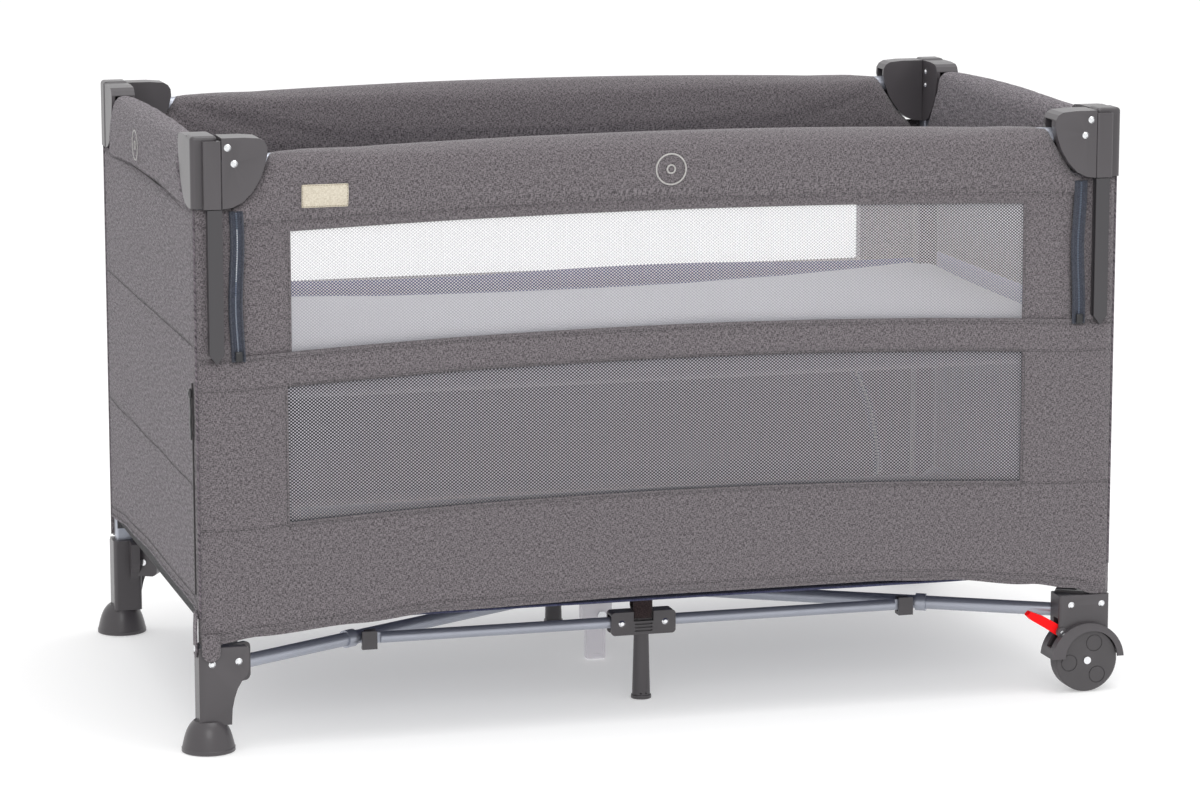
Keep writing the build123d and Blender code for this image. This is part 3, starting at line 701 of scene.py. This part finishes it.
VS = steps(-PY - 0.0105, PY + 0.0105, 116)
for s, tag, body in ENDS:
    place = end_place(s)
    wall = bands(f"end_cloth_{tag}", VS, [(end_hem, 16), (END_SEAMS[0], 12), (END_SEAMS[1], 12),
                                          (WALL_TOP, 1)], place, grey_y)
    bits = []
    seam_vs = steps(-PY - 0.008, PY + 0.008, 120)
    for k, curve in enumerate((lambda v: end_hem(v) + 0.0125, *END_SEAMS)):
        pts = [place(v, height_at(curve, v)) for v in seam_vs]
        out = [(x + s * 0.0010, y, z) for x, y, z in pts]
        bits.append(stitches(f"end_seam_{tag}_{k}", out, thread, normal=(s, 0, 0)))
        bits.append(tube(f"end_groove_{tag}_{k}", [(x + s * 0.0003, y, z + 0.002) for x, y, z in pts],
                         0.0007, thread, 6))
    bits.append(tube(f"end_roll_{tag}", [place(v, end_hem(v)) for v in seam_vs], 0.0022, grey_y, 8))
    # piped corners where the end cloth meets the long sides
    for y in (-PY - 0.0105, PY + 0.0105):
        path = [(s * (WX - 0.0018), y + math.copysign(0.001, y), z)
                for z in steps(end_hem(y), WALL_TOP, 40)]
        bits.append(tube(f"corner_pipe_{tag}_{'f' if y < 0 else 'b'}", path, 0.0018, grey_y, 8))
    on_wall(body, "y", wall, *bits)
    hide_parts(f"wall_{tag}")

# back wall: cloth below, net above
NET_R = 0.492                              # half length of the back window
BACK_LOW, BACK_HIGH = 0.488, 0.657         # its lower and upper edge
back_hem = bow(0.60, 0.138, 0.157)


def back_place(depth, seed=11.0):
    def place(u, z):
        wave = fray(u, z, 0.18, 0.0025, seed) * min(1.0, (WX - abs(u)) / 0.06)
        return (u, depth + wave, z)
    return place


outside = back_place(WY - 0.001)
BU = sorted(set([round(x, 5) for x in steps(-WX, WX, 150)] + [-NET_R, NET_R]))
back_wall = bands("back_cloth", BU, [(back_hem, 22), (BACK_LOW, 16), (BACK_HIGH, 2), (WALL_TOP, 1)],
                  outside, grey_x, lambda u, band: band == 1 and abs(u) < NET_R)
back_net = bands("back_net", [u for u in BU if abs(u) <= NET_R + 0.012],
                 [(BACK_LOW - 0.004, 8), (BACK_HIGH + 0.004, 1)], back_place(WY - 0.003), net_back,
                 depth=NET_DEPTH)
# back lining in the inner grey darkened as painted shade
inner = bands("back_lining", [u for u in BU if abs(u) <= 0.60],
              [(lambda u: back_hem(u) + 0.01, 16), (0.455, 1)], back_place(WY - 0.0055, 12.0),
              inner_grey_painted_shade, depth=LINING_DEPTH)
back_bits = []
for name, curve in (("back_hem_seam", lambda u: back_hem(u) + 0.0125),
                    ("back_win_seam", BACK_LOW - 0.004)):
    pts = [outside(u, height_at(curve, u)) for u in steps(-0.60, 0.60, 120)]
    back_bits.append(stitches(name, [(x, y + 0.0010, z) for x, y, z in pts], thread, normal=(0, 1, 0)))
back_bits.append(tube("back_roll", [outside(u, back_hem(u)) for u in steps(-0.609, 0.609, 120)],
                      0.0022, grey_x, 8))
# arched zip of the side door, seen through the lower window
arch = [(0.527 - 0.190 * (1 - math.cos(q)), WY - 0.0085, 0.165 + 0.265 * math.sin(q))
        for q in steps(0.0, math.pi / 2, 50)]
back_bits.append(ribbon("door_zip_tape", arch, (1, 0, 0.6), 0.016, 0.001, zip_tape))
back_bits.append(tube("door_zip_line", [(x, y - 0.0012, z) for x, y, z in arch], 0.0016,
                      pale_thread, 8))
on_wall("corner_bl", "x", back_wall, back_net, inner, *back_bits)
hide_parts("wall_back")

# ---- floor: a stiff cloth floor in seven boards
FLOOR_CELL = 0.02


def floor_board(name, x0, x1, y0, y1):
    nx, ny = (max(4, int(side / FLOOR_CELL)) for side in (x1 - x0, y1 - y0))
    verts = []
    for j in range(ny + 1):
        for i in range(nx + 1):
            x, y = x0 + (x1 - x0) * i / nx, y0 + (y1 - y0) * j / ny
            # the cloth rises to the hem of the end wall
            rise = 0.6 * max(0.0, abs(x) - 0.5785)
            verts.append((x, y, (floor_lo.z + floor_hi.z) / 2 + rise + fray(x, y, 0.1, 0.0007, 20)))
    return thicken(mesh_piece(name, verts, grid_faces(nx, ny), navy_flat), 0.0026)


fx, fy = floor_hi.x - 0.0015, floor_hi.y - 0.0015
cx, cy = 0.19, 0.10                        # half sides of the middle board
corner_x, corner_y = 0.579, 0.317          # clear of the posts
boards = [
    (floor_board("floor_middle", -cx, cx, -cy, cy), "hub", "middle"),
    (floor_board("floor_front", -corner_x, corner_x, -fy, -cy), "corner_fl", "x"),
    (floor_board("floor_back", -corner_x, corner_x, cy, fy), "corner_bl", "x"),
    (floor_board("floor_left", -corner_x, -cx, -cy, cy), "corner_fl", "y"),
    (floor_board("floor_right", cx, corner_x, -cy, cy), "corner_fr", "y"),
    (floor_board("floor_edge_left", -0.602, -corner_x, -corner_y, corner_y), "corner_fl", "y"),
    (floor_board("floor_edge_right", corner_x, fx, -corner_y, corner_y), "corner_fr", "y"),
]
for o, body, axis in boards:
    if axis == "middle":
        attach(o, body)
        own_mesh(o)
    else:
        on_wall(body, axis, o, slot="fabric_navy")
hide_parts("floor_panel")

# ---- mattress
hx, hy = mat_hi.x - 0.004, mat_hi.y - 0.004
PAD_THICK = 0.012
PAD_CELLS = (96, 54)


def mattress_top(x, y):
    """The mattress sags: it is highest along its ends and sides."""
    return mat_hi.z - 0.004 + 0.020 * (abs(x) / 0.6) ** 2.2 + 0.004 * (abs(y) / 0.34) ** 2


def in_pad(x, y):
    """The corners are notched clear of the posts."""
    return not (abs(x) > 0.568 and abs(y) > 0.306)


verts, faces, index = [], [], {}
xs, ys = steps(-hx, hx, PAD_CELLS[0]), steps(-hy, hy, PAD_CELLS[1])
cells = [(i, j) for i in range(PAD_CELLS[0]) for j in range(PAD_CELLS[1])
         if in_pad((xs[i] + xs[i + 1]) / 2, (ys[j] + ys[j + 1]) / 2)]
for top in (1, 0):
    for i, j in cells:
        ids = []
        for a, b2 in ((i, j), (i + 1, j), (i + 1, j + 1), (i, j + 1)):
            key = (a, b2, top)
            if key not in index:
                x, y = xs[a], ys[b2]
                edge = min(hx - abs(x), hy - abs(y))
                near = max(0.0, 1 - edge / 0.012)
                z = mattress_top(x, y)
                z = z - 0.004 * near ** 2 if top else z - PAD_THICK + 0.003 * near ** 2
                index[key] = len(verts)
                verts.append((x, y, z))
            ids.append(index[key])
        faces.append(tuple(ids) if top else tuple(reversed(ids)))
edge_count = {}
for i, j in cells:
    loop = ((i, j), (i + 1, j), (i + 1, j + 1), (i, j + 1))
    for a, b2 in zip(loop, loop[1:] + loop[:1]):
        edge_count[frozenset((a, b2))] = edge_count.get(frozenset((a, b2)), []) + [(a, b2)]
rim = [v[0] for v in edge_count.values() if len(v) == 1]
for a, b2 in rim:
    faces.append((index[a + (0,)], index[b2 + (0,)], index[b2 + (1,)], index[a + (1,)]))
pad = mesh_piece("mattress_pad", verts, faces, pad_cloth)
pad = inflate(pad, 0.006, 0.006,
              lambda co: 1.0 if abs(co.x) > hx - 0.008 or abs(co.y) > hy - 0.008 else 0.0, 1.0)
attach(pad, "mattress")
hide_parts("mattress")
for side, y in (("f", -hy + 0.001), ("b", hy - 0.001)):
    path = [(x, y, mattress_top(x, y) - 0.004) for x in steps(-hx + 0.04, hx - 0.04, 80)]
    o = tube(f"pad_pipe_{side}", path, 0.0022, navy_x, 8)
    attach(o, "mattress")


# navy lining band round the raised bed: the ends in a lighter navy as painted light, the front in the
# inner grey darkened as painted shade
def lining(name, us, low, high, place, material):
    o = bands(name, us, [(low, 4), (high, 1)], place, material, depth=LINING_DEPTH)
    return o


LONG_US, FRONT_US, END_VS = steps(-0.598, 0.598, 120), steps(-0.55, 0.55, 110), steps(-0.318, 0.318, 60)
lin_back = lining("lining_back", LONG_US, 0.446, lambda u: 0.4885 + 0.003 * math.sin(u * 9),
                  back_place(WY - 0.0088, 13.0), navy_x)
lin_front = lining("lining_front", FRONT_US, 0.446, 0.4905, lambda u, z: (u, -WY + 0.0085, z),
                   inner_grey_painted_shade)
lin_left = lining("lining_left", END_VS, 0.452, 0.498, lambda v, z: (-WX + 0.0060, v, z),
                  navy_end_painted_light)
lin_right = lining("lining_right", END_VS, 0.452, lambda v: 0.500 - 0.004 * (v + 0.318),
                   lambda v, z: (WX - 0.0060, v, z), navy_end_painted_light)
on_wall("corner_bl", "x", lin_back, slot="fabric_navy")
on_wall("corner_fl", "x", lin_front, slot="fabric_navy")
on_wall("corner_fl", "y", lin_left, slot="fabric_navy")
on_wall("corner_fr", "y", lin_right, slot="fabric_navy")

# linings inside the end walls: near black below the mattress as painted shade, and above the band the
# inner grey darkened as painted shade
for s, tag, body in ENDS:
    for part, z0, z1, m in (("low", 0.163, 0.450, painted_shade_lining), ("high", 0.4995, 0.662, inner_grey_painted_shade)):
        o = bands(f"end_lining_{tag}_{part}", END_VS, [(z0, 12), (z1, 1)],
                  lambda v, z, s=s: (s * (WX - 0.0058), v, z), m, depth=LINING_DEPTH)
        on_wall(body, "y", o)
    # cloth sleeve round the back post, in the inner grey darkened as painted shade
    turn = [(0.6080, 0.3165), (0.5800, 0.3165), (0.5785, 0.3180), (0.5785, 0.3440)]
    run = [0.0, 0.028, 0.030, 0.056]

    def round_post(u, z, s=s):
        return (s * lerp_line(u, run, [x for x, _ in turn]), lerp_line(u, run, [y for _, y in turn]), z)

    o = bands(f"post_lining_{tag}", sorted(run + [0.007, 0.014, 0.021, 0.039, 0.047]),
              [(0.152, 30), (0.664, 1)], round_post, inner_grey_painted_shade, depth=LINING_DEPTH)
    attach(o, f"corner_b{tag[0]}")

# ---- padded rail covers
# the round wing of a front cap: (height, how far from the middle it ends)
WING_SIDE = [(0.6600, 0.572), (0.6870, 0.571), (0.692, 0.559), (0.698, 0.5475), (0.711, 0.535),
             (0.727, 0.5255), (0.743, 0.5195), (0.758, 0.5165), (0.80, 0.5165)]
LONG_END, SHORT_END = 0.5165, 0.2555       # the same at the top of a long and of a short wing


def wing_clear(z):
    """How far the cover of a long rail may reach, so that it ends at the round wing."""
    for (a, va), (b2, vb) in zip(WING_SIDE, WING_SIDE[1:]):
        if z <= b2:
            return va + (vb - va) * max(0.0, (z - a) / (b2 - a))
    return WING_SIDE[-1][1]


def cover_profile(n=40):
    """Cross-section of a padded cover: (side, height) with height 0 at the seam and 1 at the top."""
    out = []
    for k in range(n):
        q = TAU * k / n
        c, s2 = math.cos(q), math.sin(q)
        side = math.copysign(abs(c) ** (0.62 if s2 > 0 else 0.45), c)
        up = 0.5 + 0.5 * math.copysign(abs(s2) ** 0.72, s2)
        side *= 0.72 + 0.28 * min(1.0, up / 0.42) ** 0.7
        out.append((side, up))
    return out


def cover(name, half, low, high, place, material, half_width, clear, seed, rows=200):
    """A closed padded tube along a rail. place(u, side, z) gives the point."""
    profile = cover_profile()
    verts = []
    for u in steps(-1.0, 1.0, rows):
        end = max(0.0, (abs(u) - 0.965) / 0.035)
        for side, up in profile:
            x = u * half
            z = low(x) + (high(x) - low(x)) * up
            z += (0.5 - up) * 0.010 * end ** 2
            if abs(u) > 0.8:
                x = math.copysign(0.8 * half + (abs(u) - 0.8) / 0.2 * (clear(z) - 0.8 * half), u)
            w = half_width * side * (1 - 0.22 * end ** 2)
            crease = fray(x, z * 1.6, 0.050, 0.0011, seed) + fray(x, z, 0.017, 0.0004, seed + 3)
            pull = 0.0016 * math.sin(x * 160 + 3 * z * 60) * max(0.0, (abs(u) - 0.82) / 0.18)
            verts.append(place(x, w + (crease + pull) * (1 if side > 0 else -1), z))
    return mesh_piece(name, verts, loft_faces(rows + 1, len(profile)), material)


def stuff(o, low, axis):
    """Fill a cover by cloth simulation, held along its lower seam and at its ends."""
    ends = max(abs(v.co[axis]) for v in o.data.vertices)

    def hold(co):
        if co.z < low(co[axis]) + 0.014 or abs(co[axis]) > ends - 0.060:
            return 1.0
        return 0.0
    return inflate(o, 0.005, 0.005, hold, 3.0)


front_low, front_high = bow(0.56, 0.661, 0.6735), bow(0.56, 0.757, 0.772)
side_low, side_high = bow(0.28, 0.672, 0.682), bow(0.28, 0.766, 0.777)
covers = {}
for tag, s, seed in (("front", -1, 1.0), ("back", 1, 5.0)):
    o = cover(f"cover_{tag}", 0.572, front_low, front_high, lambda x, w, z, s=s: (x, s * (PY + w), z),
              grey_x, 0.0195, wing_clear, seed)
    covers[tag] = stuff(o, front_low, 0)
for tag, s in (("left", -1), ("right", 1)):
    o = cover(f"cover_{tag}", 0.311, side_low, side_high, lambda v, w, z, s=s: (s * (PX + w), v, z),
              grey_y, 0.0185, lambda z: wing_clear(z) - LONG_END + SHORT_END, 9.0 + s, 110)
    covers[tag] = stuff(o, side_low, 1)
BLENDS = {"front": ("rail_front_l", "rail_front_r", 0), "back": ("rail_back_l", "rail_back_r", 0),
          "left": ("rail_left_f", "rail_left_b", 1), "right": ("rail_right_f", "rail_right_b", 1)}


def with_rail(tag, o):
    """A piece on a rail has its placement baked into its mesh."""
    a, b2, axis = BLENDS[tag]
    start, end = [0, 0, 0.745], [0, 0, 0.745]
    start[axis], end[axis] = -0.03, 0.03
    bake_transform(o)
    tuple(start)
    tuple(end)


for tag, o in covers.items():
    with_rail(tag, o)
    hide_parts(f"sleeve_{tag}")

# lower seams of the covers
for tag, s in (("front", -1), ("back", 1)):
    for sign, side in ((1, "out"), (-1, "in")):
        pts = [(x, s * (PY + sign * 0.0140), front_low(x) + 0.0085) for x in steps(-0.545, 0.545, 150)]
        pts = [(x, y + s * sign * 0.0030, z) for x, y, z in pts]
        o = stitches(f"cover_seam_{tag}_{side}", pts, thread, normal=(0, s * sign, 0))
        with_rail(tag, o)
for tag, s in (("left", -1), ("right", 1)):
    pts = [(s * (PX + 0.0142), v, side_low(v) + 0.0085) for v in steps(-0.27, 0.27, 80)]
    o = stitches(f"cover_seam_{tag}", pts, thread, normal=(s, 0, 0))
    with_rail(tag, o)


# ---- badge rings and label
def outer_face(o, axis, along, z):
    """Lowest x (axis 0) or y (axis 1) of a cover near a point of its outer side."""
    near = [v.co[axis] for v in o.data.vertices
            if abs(v.co[1 - axis] - along) < 0.006 and abs(v.co.z - z) < 0.006]
    return min(near, default=-WY)


BADGES = (("", "front", (0.0, outer_face(covers["front"], 1, 0.0, 0.720) - 0.0003, 0.7205), (0, -1, 0)),
          ("_end", "left", (outer_face(covers["left"], 0, 0.030, 0.726) - 0.0003, 0.030, 0.726),
           (-1, 0, 0)))
for end, rail, centre, normal in BADGES:
    for part, radius, turns in (("ring", 0.0195, 48), ("dot", 0.0052, 24)):
        with_rail(rail, ring(f"badge_{part}{end}", centre, normal, radius, 0.0022, 0.0008,
                             pale_thread, turns))

lx0, lx1, lz0, lz1 = -0.477, -0.416, 0.6865, 0.7175
nx, nz = 16, 8
verts = []
for j in range(nz + 1):
    for i in range(nx + 1):
        x, z = lx0 + (lx1 - lx0) * i / nx, lz0 + (lz1 - lz0) * j / nz
        verts.append((x, outer_face(covers["front"], 1, x, z) - 0.0008, z))
label = mesh_piece("blank_label", verts, grid_faces(nx, nz), label_cloth)
sm = label.modifiers.new("smooth", "SMOOTH")
sm.factor, sm.iterations = 0.5, 3
label = thicken(label, 0.0008, 1.0)
ly = min(v.co.y for v in label.data.vertices)
inset = 0.0022
xa, xb, za, zb = lx0 + inset, lx1 - inset, lz0 + inset, lz1 - inset
frame_pts = [(xa, za), (xb, za), (xb, zb), (xa, zb), (xa, za)]
edge_path = []
for (xa, za), (xb, zb) in zip(frame_pts, frame_pts[1:]):
    for k in range(8):
        x, z = xa + (xb - xa) * k / 8, za + (zb - za) * k / 8
        near = min(label.data.vertices,
                   key=lambda v: (v.co.x - x) ** 2 + (v.co.z - z) ** 2 + (v.co.y - ly) ** 2)
        edge_path.append((x, near.co.y - 0.0002, z))
label_thread = stitches("label_stitches", edge_path, tan_thread, 0.0022, 0.0012, 0.0006)
for o in (label, label_thread):
    with_rail("front", o)

# ---- small parts
# lifting strap: webbing that loops over the middle bracket and up to the floor
sz0, sz1 = strap_lo.z, strap_hi.z
front, rear = strap_lo.y + 0.001, strap_hi.y - 0.001
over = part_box("stab_centre_f")[1].z + 0.0012          # on top of the middle bracket
fold = front + 0.0018                                 # inner layer in the recess
# down from the floor, forward over the bracket, folded in its recess, up and back as a loop
path = [(0, rear + 0.0004 * math.sin(k), z) for k, z in enumerate(steps(sz1, over + 0.005, 8))]
path += [(0, rear - 0.0015, over + 0.0015), (0, rear - 0.005, over)]
path += [(0, fold + 0.004, over), (0, fold + 0.001, over - 0.001), (0, fold, over - 0.004)]
path += [(0, fold, sz0 + 0.003), (0, (fold + front) / 2, sz0 + 0.0012), (0, front, sz0 + 0.003)]
path += [(0, front - 0.0003 * math.sin(k), z)
         for k, z in enumerate(steps(sz0 + 0.006, over + 0.014, 6))]
path += [(0, front + 0.002, over + 0.0185), (0, front + 0.006, over + 0.0205)]
path += [(0, rear - 0.004, over + 0.0205)]
strap = ribbon("lifting_strap", path, (1, 0, 0), 0.026, 0.0017, strap_cloth)
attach(strap, "stab_centre_f")
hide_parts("strap")

# zip pull on the left end, beside the front post
PULL_Y = -0.330
pull = [(-WX - 0.003, PULL_Y + 0.0015 * math.sin(k * 0.8), z)
        for k, z in enumerate(steps(0.455, 0.398, 16))]
pull_band = ribbon("zip_pull", pull, (0, 1, 0), 0.006, 0.002, black_plastic)
pull_head = ring("zip_pull_head", (-WX - 0.0022, PULL_Y, 0.4565), (-1, 0, 0), 0.0045, 0.004, 0.003,
                 black_plastic, 20)
end_zip = tube("end_zip", [(-WX - 0.0012, PULL_Y - 0.0035, z) for z in steps(0.20, 0.47, 60)], 0.0012,
               thread, 8)
on_wall("corner_fl", "y", pull_band, pull_head, end_zip)


# the strip over the front left post ends in a tab on the front and a riveted tab on the end
def tab(name, place, half, z0, z1, material):
    """A small cloth tab with a rounded lower end; place(side, z) gives the point."""
    nx, nz = 6, 14
    verts = []
    for z in steps(z0, z1, nz):
        reach = half * math.sqrt(max(0.02, 1 - max(0.0, (z0 + half - z) / half) ** 2))
        verts += [place(reach * (i / 3 - 1), z) for i in range(nx + 1)]
    return thicken(mesh_piece(name, verts, grid_faces(nx, nz), material), 0.0014)


def front_tab_place(side, z):
    return (-WX + 0.0135 + side, -WY - 0.0028 - 0.0022 * min(1.0, (0.152 - z) / 0.02), z)


def end_tab_place(side, z):
    return (-WX - 0.0025 - 0.0010 * min(1.0, (0.176 - z) / 0.02), -PY - 0.002 + side, z)


front_tab = tab("corner_tab_front", front_tab_place, 0.0118, 0.117, 0.152, grey_x)
end_tab = tab("corner_tab_end", end_tab_place, 0.0115, 0.120, 0.178, grey_y)
tab_rivet = ring("corner_tab_rivet", (-WX - 0.0040, -PY - 0.002, 0.132), (-1, 0, 0), 0.0026, 0.0044,
                 0.0016, bright_steel, 20)
for o in (front_tab, end_tab, tab_rivet):
    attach(o, "corner_fl")

# press stud low on the front right corner
stud = ring("press_stud", (WX + 0.0006, -PY + 0.002, 0.146), (1, 0, 0), 0.0045, 0.006, 0.0022,
            bright_steel, 28)
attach(stud, "corner_fr")

# bright pins and bolts on CAD pieces of another finish
foot_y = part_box("hub_foot")[0].y
recolour("hub_foot", lambda c: c.y < foot_y + 0.0046 and 0.050 < c.z < 0.072, bright_steel)
for node in ("slider_l", "slider_r"):
    slider_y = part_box(node)[0].y
    recolour(node, lambda c: c.y < slider_y + 0.0016, bright_steel)
for node, side in (("stab_centre_f", 0), ("stab_centre_b", 1)):
    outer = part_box(node)[side].y
    recolour(node, lambda c: abs(c.y - outer) < 0.0016 and c.z > 0.05, bright_steel)

# ---- floor, light, camera
floor_mat, t, b = new_material("studio_floor")
c = t.nodes.new("ShaderNodeTexCoord").outputs["Object"]
put(b.inputs["Base Color"], mix(t, grain(t, c, 2.0), (0.66, 0.66, 0.66, 1), (0.68, 0.68, 0.68, 1)))
b.inputs["Emission Color"].default_value = (1, 1, 1, 1)
b.inputs["Emission Strength"].default_value = 0.36
b.inputs["Roughness"].default_value = 0.9
b.inputs["Specular IOR Level"].default_value = 0.1
R, Z = 14, -0.001                          # half side and height of the studio floor
floor = mesh_piece("studio_ground", [(-R, -R, Z), (R, -R, Z), (R, R, Z), (-R, R, Z)],
                   [(0, 1, 2, 3)], floor_mat, False)

world = bpy.data.worlds.new("studio")
bpy.context.scene.world = world
world.use_nodes = True
world.node_tree.nodes["Background"].inputs[0].default_value = (1.0, 1.0, 1.0, 1)
world.node_tree.nodes["Background"].inputs[1].default_value = 1.05


def area_light(name, place, target, size, power):
    d = bpy.data.lights.new(name, "AREA")
    d.shape, d.size, d.energy = "SQUARE", size, power
    o = bpy.data.objects.new(name, d)
    bpy.context.scene.collection.objects.link(o)
    o.location = place
    o.rotation_euler = (Vector(target) - Vector(place)).to_track_quat("-Z", "Y").to_euler()


area_light("key", (-1.0, -4.6, 3.2), (0, 0, 0.4), 2.2, 55)
area_light("top", (0.4, -0.4, 3.8), (0, 0, 0.4), 2.4, 50)

cam_data = bpy.data.cameras.new("camera")
cam = bpy.data.objects.new("camera", cam_data)
bpy.context.scene.collection.objects.link(cam)
# solved from points of the photograph
YAW, PITCH = math.radians(15.539), math.radians(10.336)
cam.location = (-1.5245, -5.5054, 1.3944)
cam.rotation_euler = (math.pi / 2 - PITCH, 0, -YAW)
cam_data.sensor_fit, cam_data.sensor_width = "HORIZONTAL", 36
cam_data.lens = 127.971
cam_data.dof.use_dof = False
bpy.context.scene.camera = cam
bpy.context.scene.view_settings.view_transform = "Standard"
